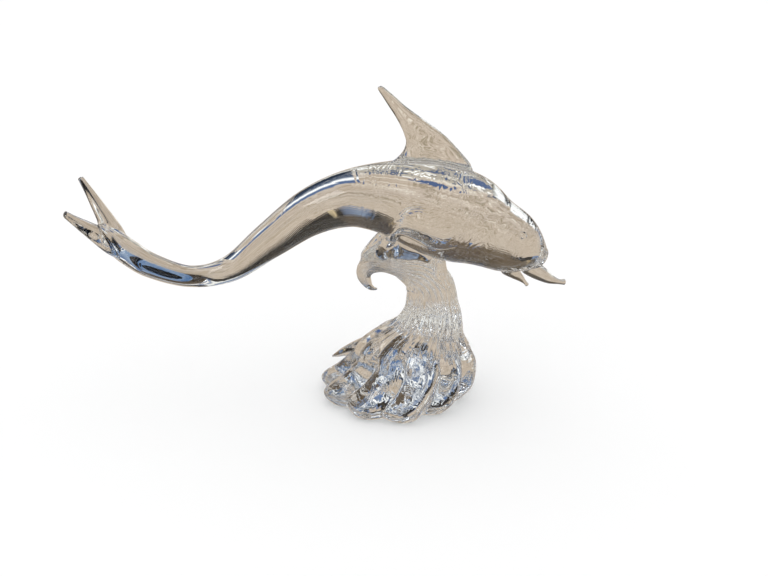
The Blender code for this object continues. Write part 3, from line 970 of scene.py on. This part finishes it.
def cords(tree, place, along):
    """A bump of fine swirling lines."""
    slow = add(tree, "ShaderNodeTexNoise", {"Vector": place, "Scale": CORD_SCALE, "Detail": 2.0,
               "Distortion": 0.6})
    phase = add(tree, MATH, {0: slow, 1: CORD_LINES}, operation="MULTIPLY")
    lines = add(tree, MATH, {0: phase}, operation="SINE")
    chest = add(tree, "ShaderNodeMapRange", {"Value": along, "From Min": TAIL_END,
                "From Max": CHEST_START, "To Min": TAIL_CORDS, "To Max": 1.0})
    lines = add(tree, MATH, {0: lines, 1: chest}, operation="MULTIPLY")
    return add(tree, "ShaderNodeBump", {"Height": lines, "Strength": 1.0, "Distance": CORD_DEPTH})


print("cords are", CORD_DEPTH * 1000, "mm high")

# %% [markdown]
# Two more marks are too fine for the mesh. Where the bead of the eye was touched on, a shallow
# ring stays in the cheek. On the hook, two short folds stay where the glass was turned over with
# pincers. Both are grooves by distance: from the eye's centre, and from a short line seen from
# the side. They are pressed in by a second bump that takes the first one's normal.

# %% Grooves in the glass: each fold's two ends, along and up, in metres
FOLDS = (
    ((-0.0107, 0.1540), (-0.0277, 0.1460)),
    ((-0.0107, 0.1466), (-0.0234, 0.1419)),
)
FOLD_WIDTH = 0.0014
FOLD_SHARE = 1.6
RING_WIDTH = 0.0011
RING_RADIUS = EYE_DIAMETER * 0.42
GROOVE_DEPTH = 0.0010


def eye_ring(tree, parts):
    """A ring round each eye, measured with both sides folded onto the far one."""
    width = add(tree, MATH, {0: parts["Y"]}, operation="ABSOLUTE")
    either = add(tree, "ShaderNodeCombineXYZ", {"X": parts["X"], "Y": width, "Z": parts["Z"]})
    centre = tuple(skin_point(EYE_STATION, EYE_RISE, 1))
    apart = add(tree, VECTOR_MATH, {0: either, 1: centre}, operation="DISTANCE").outputs["Value"]
    apart = add(tree, MATH, {0: apart, 1: RING_RADIUS}, operation="SUBTRACT")
    apart = add(tree, MATH, {0: apart}, operation="ABSOLUTE")
    return add(tree, "ShaderNodeMapRange", {"Value": apart, "From Min": 0.0, "From Max": RING_WIDTH,
               "To Min": -1.0, "To Max": 0.0}, interpolation_type="SMOOTHSTEP")


def fold(tree, flat, start, end):
    """A groove along a short line, seen from the side."""
    start, end = Vector((start[0], 0.0, start[1])), Vector((end[0], 0.0, end[1]))
    run = end - start
    along = add(tree, VECTOR_MATH, {0: flat, 1: tuple(start)}, operation="SUBTRACT")
    unit = tuple(run / run.length_squared)
    share = add(tree, VECTOR_MATH, {0: along, 1: unit}, operation="DOT_PRODUCT").outputs["Value"]
    share = add(tree, "ShaderNodeClamp", {"Value": share})
    nearest = add(tree, VECTOR_MATH, {0: tuple(run), "Scale": share}, operation="SCALE")
    off = add(tree, VECTOR_MATH, {0: along, 1: nearest}, operation="DISTANCE").outputs["Value"]
    return add(tree, "ShaderNodeMapRange", {"Value": off, "From Min": 0.0, "From Max": FOLD_WIDTH,
               "To Min": -FOLD_SHARE, "To Max": 0.0}, interpolation_type="SMOOTHSTEP")


def dress_glass(material):
    """Clear glass by plain values on the shader, with cords and grooves as bumps."""
    tree = material.node_tree
    shader = tree.nodes["Principled BSDF"]
    shader.inputs["Base Color"].default_value = linear("#f6f8f8")
    shader.inputs["Roughness"].default_value = 0.0
    shader.inputs["IOR"].default_value = 1.5
    shader.inputs["Transmission Weight"].default_value = 1.0
    place = add(tree, "ShaderNodeTexCoord").outputs["Object"]
    parts = add(tree, "ShaderNodeSeparateXYZ", {0: place}).outputs
    flat = add(tree, "ShaderNodeCombineXYZ", {"X": parts["X"], "Z": parts["Z"]})
    groove = eye_ring(tree, parts)
    for start, end in FOLDS:
        groove = add(tree, MATH, {0: groove, 1: fold(tree, flat, start, end)}, operation="ADD")
    pressed = add(tree, "ShaderNodeBump", {"Height": groove, "Normal": cords(tree, place, parts["X"]),
                  "Strength": 1.0, "Distance": GROOVE_DEPTH})
    tree.links.new(pressed.outputs["Normal"], shader.inputs["Normal"])


dress_glass(CLEAR_GLASS)
sculpture = shown("glass_dolphin_on_wave", whole)
whole.materials.clear()
whole.materials.append(CLEAR_GLASS)
whole.shade_smooth()
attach(sculpture, "root")
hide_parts("dolphin_on_wave")
print("glass of", len(CLEAR_GLASS.node_tree.nodes), "nodes on", sculpture.name)

# %% [markdown]
# Clear glass has no colour of its own to show. What the eye reads is its surroundings, bent and
# turned upside down, so the surroundings are most of the work. They go into the world, where only
# the glass sees them: the camera and the floor get plain white.
#
# Two small helpers keep the world readable. One tells how far a direction lies inside soft edges.
# The other lays colours over each other in turn, as a painter does, each where its mask is 1.

# %% Helpers that lay colours over each other
GLOW = (1.3, 1.3, 1.28, 1.0)


def inside(tree, *edges):
    """How far a place lies inside soft edges: each is a value, where it begins and is complete."""
    share = 1.0
    for value, begins, complete in edges:
        edge = add(tree, "ShaderNodeMapRange", {"Value": value, "From Min": begins,
                   "From Max": complete})
        share = add(tree, MATH, {0: edge, 1: share}, operation="MULTIPLY")
    return share


def layered(tree, colour, layers):
    """Cover a colour with others in turn; each layer is a mask and a colour."""
    for mask, over in layers:
        mix = add(tree, "ShaderNodeMix", {0: mask, 6: colour, 7: over}, data_type="RGBA")
        colour = mix.outputs[2]
    return colour


print("brightest surroundings", GLOW[:3])

# %% [markdown]
# Below the horizon the glass sees the ground. A direction is turned into a place on it by
# dividing it by its own height, so a pattern lies flat and grows finer with distance. The ground
# is pale sand with thin swirls, and close to the foot it holds painted caustics, pools of light
# that a clear piece focuses from the sun, and the piece's own painted shadow in blue-grey between
# them. A dark board gives the top of the arched tail its dark, white and blue stripes, a creased
# sheet gives the melon's upper edge its own, and two blue spots colour the back under the dorsal
# fin.

# %% The ground
LOWEST_HEIGHT = -0.04
LENGTH_SHARE = -0.4
SWIRL_SCALE = 1.3
SWIRL_LINES = 90.0
STREAK_SCALE = 3.0
SHADOW_AND_CAUSTIC_EDGE = (2.02, 1.86)
BOARD_PLACE = -0.42
BLUE_SPOTS = (((-0.05, -1.33), 0.13), ((0.35, -0.68), 0.14))


def sand(tree, table, streaks, swirls):
    """Pale sand with thin swirls, and painted shadow and caustic pools of light close to the foot."""
    grain = add(tree, MATH, {0: swirls, 1: 0.06, 2: streaks}, operation="MULTIPLY_ADD")
    far = add(tree, "ShaderNodeValToRGB", {0: grain}, stops=(
        (0.38, "#a3967f"), (0.46, "#c5b3a0"), (0.54, "#d0bfae"), (0.60, "#dccdbb"), (0.66, "#f0e6d6")))
    shadow_and_caustic_noise = add(tree, "ShaderNodeTexNoise", {"Vector": table, "Scale": STREAK_SCALE,
                  "Detail": 2.0, "Distortion": 2.2})
    shadow_and_caustic_noise = add(tree, MATH, {0: swirls, 1: 0.02, 2: shadow_and_caustic_noise}, operation="MULTIPLY_ADD")
    # Painted shadow in blue-grey and painted caustic light, close to the foot.
    shadow_and_caustic_pools = add(tree, "ShaderNodeValToRGB", {0: shadow_and_caustic_noise}, stops=(
        (0.36, "#4d628a"), (0.39, "#6f7a86"), (0.43, "#b9b0a2"), (0.55, "#cfc6b8"), (0.62, GLOW)))
    away = add(tree, VECTOR_MATH, {0: table}, operation="LENGTH").outputs["Value"]
    edge = add(tree, MATH, {0: streaks, 1: 0.8, 2: away}, operation="MULTIPLY_ADD")
    return layered(tree, far, [(inside(tree, (edge, *SHADOW_AND_CAUSTIC_EDGE)), shadow_and_caustic_pools)])


def board(tree, across, length):
    """The mask and colours of a dark board with a white line across it."""
    beside = add(tree, MATH, {0: across, 1: BOARD_PLACE}, operation="SUBTRACT")
    beside = add(tree, MATH, {0: beside}, operation="ABSOLUTE")
    colours = add(tree, "ShaderNodeValToRGB", {0: length}, stops=(
        (0.30, "#2c3440"), (0.50, "#4a5870"), (0.55, "#d5dae0"), (0.58, GLOW), (0.61, GLOW),
        (0.65, "#b9c3d0"), (0.68, "#4f6690"), (0.80, "#7486a6")))
    return inside(tree, (beside, 0.11, 0.09), (length, 0.80, 0.76), (length, 0.28, 0.31)), colours


def sheet(tree, across, length, streaks):
    """The mask and colours of a creased sheet with dark and white stripes."""
    creases = add(tree, MATH, {0: streaks, 1: 0.5, 2: across}, operation="MULTIPLY_ADD")
    creases = add(tree, MATH, {0: creases, 1: 0.4}, operation="MULTIPLY")
    colours = add(tree, "ShaderNodeValToRGB", {0: creases}, stops=(
        (0.32, "#3a3d40"), (0.35, "#c9c6ba"), (0.39, GLOW), (0.45, GLOW), (0.49, "#1f2020"),
        (0.53, "#4a4a46"), (0.56, GLOW), (0.66, GLOW), (0.68, "#2a2c2e"), (0.74, "#3c3f42"),
        (0.78, GLOW), (0.90, "#5a6470")))
    return inside(tree, (length, 0.46, 0.42), (across, 0.55, 0.62), (length, 0.00, 0.04)), colours


def blue_spot(tree, table, streaks, centre, radius):
    """The mask and colour of a ragged blue spot."""
    apart = add(tree, VECTOR_MATH, {0: table, 1: (*centre, 1.0)}, operation="DISTANCE").outputs["Value"]
    apart = add(tree, MATH, {0: streaks, 1: 0.3, 2: apart}, operation="MULTIPLY_ADD")
    return inside(tree, (apart, radius + 0.17, radius + 0.13)), linear("#4f6690")


def ground(tree, direction, height):
    """All that lies on the ground, by direction."""
    depth = add(tree, MATH, {0: height, 1: LOWEST_HEIGHT}, operation="MINIMUM")
    depth = add(tree, MATH, {0: 1.0, 1: depth}, operation="DIVIDE")
    table = add(tree, VECTOR_MATH, {0: direction, "Scale": depth}, operation="SCALE")
    streaks = add(tree, "ShaderNodeTexNoise", {"Vector": table, "Scale": STREAK_SCALE,
                  "Detail": 6.0, "Roughness": 0.65, "Distortion": 1.2})
    swirls = add(tree, "ShaderNodeTexNoise", {"Vector": table, "Scale": SWIRL_SCALE,
                 "Detail": 2.0, "Distortion": 1.0})
    swirls = add(tree, MATH, {0: swirls, 1: SWIRL_LINES}, operation="MULTIPLY")
    swirls = add(tree, MATH, {0: swirls}, operation="SINE")
    parts = add(tree, "ShaderNodeSeparateXYZ", {0: table}).outputs
    length = add(tree, MATH, {0: parts["Y"], 1: LENGTH_SHARE}, operation="MULTIPLY")
    layers = [board(tree, parts["X"], length), sheet(tree, parts["X"], length, streaks)]
    layers += [blue_spot(tree, table, streaks, *spot) for spot in BLUE_SPOTS]
    return layered(tree, sand(tree, table, streaks, swirls), layers)


print("ground with", len(BLUE_SPOTS), "blue spots")

# %% [markdown]
# Above the horizon stands what makes the lobes sparkle: haze in blue, grey and white with a few
# near-black strokes, over a dark belt. Higher up are sky and cloud, and right overhead it is dark.
# The lowest comes first in the list, and each higher one covers it from its own height up.

# %% The air, and the world round it all
CLOUD = (1.5, 1.55, 1.6, 1.0)
PAPER = (1.15, 1.15, 1.15, 1.0)
GROUND_TOP = 0.13
BELT_TOP = (0.9, -0.23)
SKYLINE = (0.20, 0.56)
DARK_TOP = 0.86


def air(tree, direction, height):
    """Masks and colours of what stands over the dark belt, from the lowest up."""
    haze = add(tree, "ShaderNodeTexNoise", {"Vector": direction, "Scale": 2.8, "Detail": 1.5,
               "Distortion": 1.2})
    masses = add(tree, "ShaderNodeValToRGB", {0: haze}, stops=(
        (0.36, "#5a77a6"), (0.41, "#7f93b0"), (0.440, "#24211e"), (0.465, "#2f2b27"),
        (0.480, "#a3a8ac"), (0.52, GLOW), (0.55, "#dcdbd6"), (0.57, "#5f7ba8"),
        (0.60, "#8a93a0"), (0.605, "#24211e"), (0.62, "#24211e"), (0.63, GLOW)))
    belt = add(tree, MATH, {0: haze, 1: BELT_TOP[0], 2: BELT_TOP[1]}, operation="MULTIPLY_ADD")
    over_belt = add(tree, MATH, {0: height, 1: belt}, operation="GREATER_THAN")
    cloud = add(tree, "ShaderNodeTexNoise", {"Vector": direction, "Scale": 2.6, "Detail": 5.0})
    sky = add(tree, "ShaderNodeValToRGB", {0: cloud}, stops=(
        (0.44, "#56759f"), (0.54, "#8fa3bd"), (0.64, CLOUD)))
    skyline = add(tree, "ShaderNodeTexNoise", {"Vector": direction, "Scale": 3.0, "Detail": 3.0})
    skyline = add(tree, MATH, {0: skyline, 1: SKYLINE[0], 2: SKYLINE[1]}, operation="MULTIPLY_ADD")
    open_sky = add(tree, MATH, {0: height, 1: skyline}, operation="GREATER_THAN")
    overhead = add(tree, MATH, {0: height, 1: DARK_TOP}, operation="GREATER_THAN")
    return [(over_belt, masses), (open_sky, sky), (overhead, linear("#453c32"))]


def surroundings():
    """A white room for the camera and the floor, and a garden's light for the glass."""
    world = bpy.data.worlds.new("open_air")
    world.use_nodes = True
    bpy.context.scene.world = world
    tree = world.node_tree
    tree.nodes.clear()
    direction = add(tree, "ShaderNodeTexCoord").outputs["Generated"]
    height = add(tree, "ShaderNodeSeparateXYZ", {0: direction}).outputs["Z"]
    low = add(tree, MATH, {0: height, 1: GROUND_TOP}, operation="LESS_THAN")
    ray = add(tree, "ShaderNodeLightPath").outputs
    plain = add(tree, MATH, {0: ray["Diffuse Depth"], 1: 0.5}, operation="GREATER_THAN")
    for kind in ("Is Camera Ray", "Is Diffuse Ray"):
        plain = add(tree, MATH, {0: ray[kind], 1: plain}, operation="MAXIMUM")
    layers = air(tree, direction, height) + [(low, ground(tree, direction, height)), (plain, PAPER)]
    colour = layered(tree, linear("#1f1c19"), layers)
    background = add(tree, "ShaderNodeBackground", {"Color": colour, "Strength": 1.0})
    add(tree, "ShaderNodeOutputWorld", {"Surface": background})
    return len(tree.nodes)


print("world of", surroundings(), "nodes")

# %% [markdown]
# The tail's underside, the belly and the chin show a near-black band, and the foot, which looks
# into the same directions, hardly does. A world can't tell the two apart, because it is endlessly
# far away. So the band's painted shade stands near, behind the sculpture: a louvre of thin slats
# that are painted below with shade that glows faintly, and can't be seen from above. Rays that the
# body sends up meet the painted shade, and most rays of the foot pass under the slats. The painted
# shade follows the real band from left to right, with painted reflections in it: its pale notch,
# its blue-grey stretch and its browner end; the slats higher up have no notch, and the painted light
# on them fades with height. The last field's slats drop more towards the back and lay painted shade
# on the trailing edge of the dorsal fin. Neither camera nor floor sees them.

# %% The louvre of painted shade: each field's left, right, lowest and highest, and the drop of a slat, in metres
SLAT_FIELDS = (
    (-0.450, -0.322, 0.100, 0.40, 0.0014),
    (-0.235, -0.150, 0.115, 0.34, 0.0014),
    (-0.150, -0.090, 0.150, 0.36, 0.0014),
    (-0.090, 0.085, 0.215, 0.50, 0.0014),
    (0.085, 0.300, 0.150, 0.40, 0.0014),
    (0.000, 0.100, 0.280, 0.35, 0.0065),
)
SLAT_GAP = 0.007
SLAT_NEAR = 0.20
SLAT_DEPTH = 0.04
PAINT_ENDS = (-0.5, 0.5)
HIGH_FROM = (0.245, 0.252)
SHADE_FROM, SHADE_TO = (0.20, 1.15), (0.34, 0.40)
# Painted shade of the dark band from left to right, with painted reflections: the pale notch, the blue-grey
# stretch, the browner end.
LOW_PAINTED_SHADE = (
    (0.20, "#2a2622"), (0.30, "#1f1c19"), (0.436, "#151311"), (0.440, "#d8c39a"),
    (0.444, "#d8c39a"), (0.448, "#15130f"), (0.453, "#15130f"), (0.460, "#66748c"),
    (0.485, "#8795ab"), (0.500, "#55647c"), (0.506, "#15130f"), (0.515, "#4c4135"),
    (0.545, "#6a5c4a"), (0.550, "#c9b084"), (0.553, "#6a5c4a"), (0.60, "#5e4e3a"),
    (0.66, "#463c30"), (0.80, "#4a463f"),
)
# Painted shade for the higher slats, which have no notch.
HIGH_PAINTED_SHADE = (
    (0.30, "#1f1c19"), (0.44, "#151311"), (0.46, "#5e5143"), (0.52, "#4c4135"),
    (0.60, "#5e4e3a"), (0.70, "#37322c"),
)


def painted_shade_below():
    """Painted shade, with painted reflections in it, that glows faintly on the side that faces down, and
    nothing on the other.
    """
    material = bpy.data.materials.new("painted_shade_slats")
    material.use_nodes = True
    tree = material.node_tree
    tree.nodes.clear()
    place = add(tree, "ShaderNodeTexCoord").outputs["Object"]
    parts = add(tree, "ShaderNodeSeparateXYZ", {0: place}).outputs
    along = add(tree, "ShaderNodeMapRange", {"Value": parts["X"], "From Min": PAINT_ENDS[0],
                "From Max": PAINT_ENDS[1]})
    low, high = (add(tree, "ShaderNodeValToRGB", {0: along}, stops=painted_shade)
                 for painted_shade in (LOW_PAINTED_SHADE, HIGH_PAINTED_SHADE))
    painted_shade = layered(tree, low, [(inside(tree, (parts["Z"], *HIGH_FROM)), high)])
    # Painted light on the slats, fading with height.
    shade = add(tree, "ShaderNodeMapRange", {"Value": parts["Z"], "From Min": SHADE_FROM[0],
                "From Max": SHADE_TO[0], "To Min": SHADE_FROM[1], "To Max": SHADE_TO[1]})
    glow = add(tree, "ShaderNodeEmission", {"Color": painted_shade, "Strength": shade})
    clear = add(tree, "ShaderNodeBsdfTransparent")
    side = add(tree, "ShaderNodeNewGeometry").outputs["Backfacing"]
    both = add(tree, "ShaderNodeMixShader", {0: side, 1: glow, 2: clear})
    add(tree, "ShaderNodeOutputMaterial", {"Surface": both})
    return material


def painted_shade_louvres():
    """Thin slats behind the sculpture that carry painted shade below, and are clear from above."""
    near, far = SLAT_NEAR, SLAT_NEAR + SLAT_DEPTH
    bm = bmesh.new()
    for left, right, low, high, drop in SLAT_FIELDS:
        for number in range(int((high - low) / SLAT_GAP)):
            height = low + number * SLAT_GAP
            corners = ((left, near, height), (left, far, height - drop),
                       (right, far, height - drop), (right, near, height))
            bm.faces.new([bm.verts.new(corner) for corner in corners])
    mesh = bpy.data.meshes.new("painted_shade_louvres")
    bm.to_mesh(mesh)
    bm.free()
    mesh.materials.append(painted_shade_below())
    thing = shown("painted_shade_louvres", mesh)
    thing.visible_camera = False
    thing.visible_diffuse = False
    thing.visible_shadow = False
    return len(mesh.polygons)


print("louvre of", painted_shade_louvres(), "slats")

# %% [markdown]
# The piece stands on a white floor that takes its soft shadow. The floor is matt paper, so it
# mirrors nothing, and the glass doesn't see it, or the glass would turn white all over. The white
# world lights the floor. The one soft light, above and to the left, is there for the glass alone:
# it adds a highlight and leaves the floor as it is.

# %% The floor and the light
FLOOR_RADIUS = 30.0
FLOOR_DROP = 0.0005
SOFTBOX_PLACE = Vector((-1.1, -0.3, 1.5))
SOFTBOX_AIM = Vector((0.0, 0.0, 0.15))
SOFTBOX_SIZE = 0.6
SOFTBOX_POWER = 4.0


def floor():
    """A plain pale floor that the glass itself doesn't see."""
    bm = bmesh.new()
    bmesh.ops.create_circle(bm, cap_ends=True, radius=FLOOR_RADIUS, segments=96,
                            matrix=Matrix.Translation((0.0, 0.0, -FLOOR_DROP)))
    mesh = bpy.data.meshes.new("pale_floor")
    bm.to_mesh(mesh)
    bm.free()
    material = bpy.data.materials.new("matt_white_paper")
    material.use_nodes = True
    shader = material.node_tree.nodes["Principled BSDF"]
    shader.inputs["Base Color"].default_value = linear("#f4f4f4")
    shader.inputs["Roughness"].default_value = 0.9
    shader.inputs["Specular IOR Level"].default_value = 0.0
    mesh.materials.append(material)
    thing = shown("pale_floor", mesh)
    thing.visible_transmission = False
    thing.visible_glossy = False


def softbox():
    """A square soft light that points at the sculpture."""
    light = bpy.data.lights.new("softbox_over", "AREA")
    light.size = SOFTBOX_SIZE
    light.energy = SOFTBOX_POWER
    thing = shown("softbox_over", light)
    thing.location = SOFTBOX_PLACE
    thing.rotation_euler = (SOFTBOX_AIM - SOFTBOX_PLACE).to_track_quat("-Z", "Y").to_euler()
    thing.visible_diffuse = False


floor()
softbox()
bpy.context.scene.view_settings.view_transform = "Standard"
print("softbox of", SOFTBOX_POWER, "watts")

# %% [markdown]
# Light that enters the glass is bent and mirrored inside it many times. Blender ends a path after
# a number of steps, and a path that is ended early is black. Nine steps let nearly all light out
# again and still leave the thin dark rims that a thick piece has where light stays caught.

# %% Steps of light
LIGHT_STEPS = 9
cycles = bpy.context.scene.cycles
cycles.max_bounces = LIGHT_STEPS
cycles.transmission_bounces = LIGHT_STEPS
cycles.glossy_bounces = LIGHT_STEPS
print("up to", LIGHT_STEPS, "steps of light")

# %% [markdown]
# The camera stands a metre and a half away and looks down by twenty degrees, through a lens that
# is longer than a normal one. With these the foot's lobes and the twist of the flukes fall where
# they do on the real piece.

# %% Camera
CAMERA_AIM = Vector((-0.0110, 0.0, 0.1195))
CAMERA_DISTANCE = 1.5
CAMERA_DOWN = math.radians(20.0)
CAMERA_LENS = 66.33
SENSOR_WIDTH = 36.0


def camera():
    """A camera at the photograph's viewing angle."""
    lens = bpy.data.cameras.new("camera")
    lens.lens = CAMERA_LENS
    lens.sensor_width = SENSOR_WIDTH
    thing = shown("camera", lens)
    away = Vector((0.0, -math.cos(CAMERA_DOWN), math.sin(CAMERA_DOWN)))
    thing.location = CAMERA_AIM + away * CAMERA_DISTANCE
    thing.rotation_euler = (-away).to_track_quat("-Z", "Y").to_euler()
    bpy.context.scene.camera = thing


camera()
print("camera", CAMERA_DISTANCE, "m away")
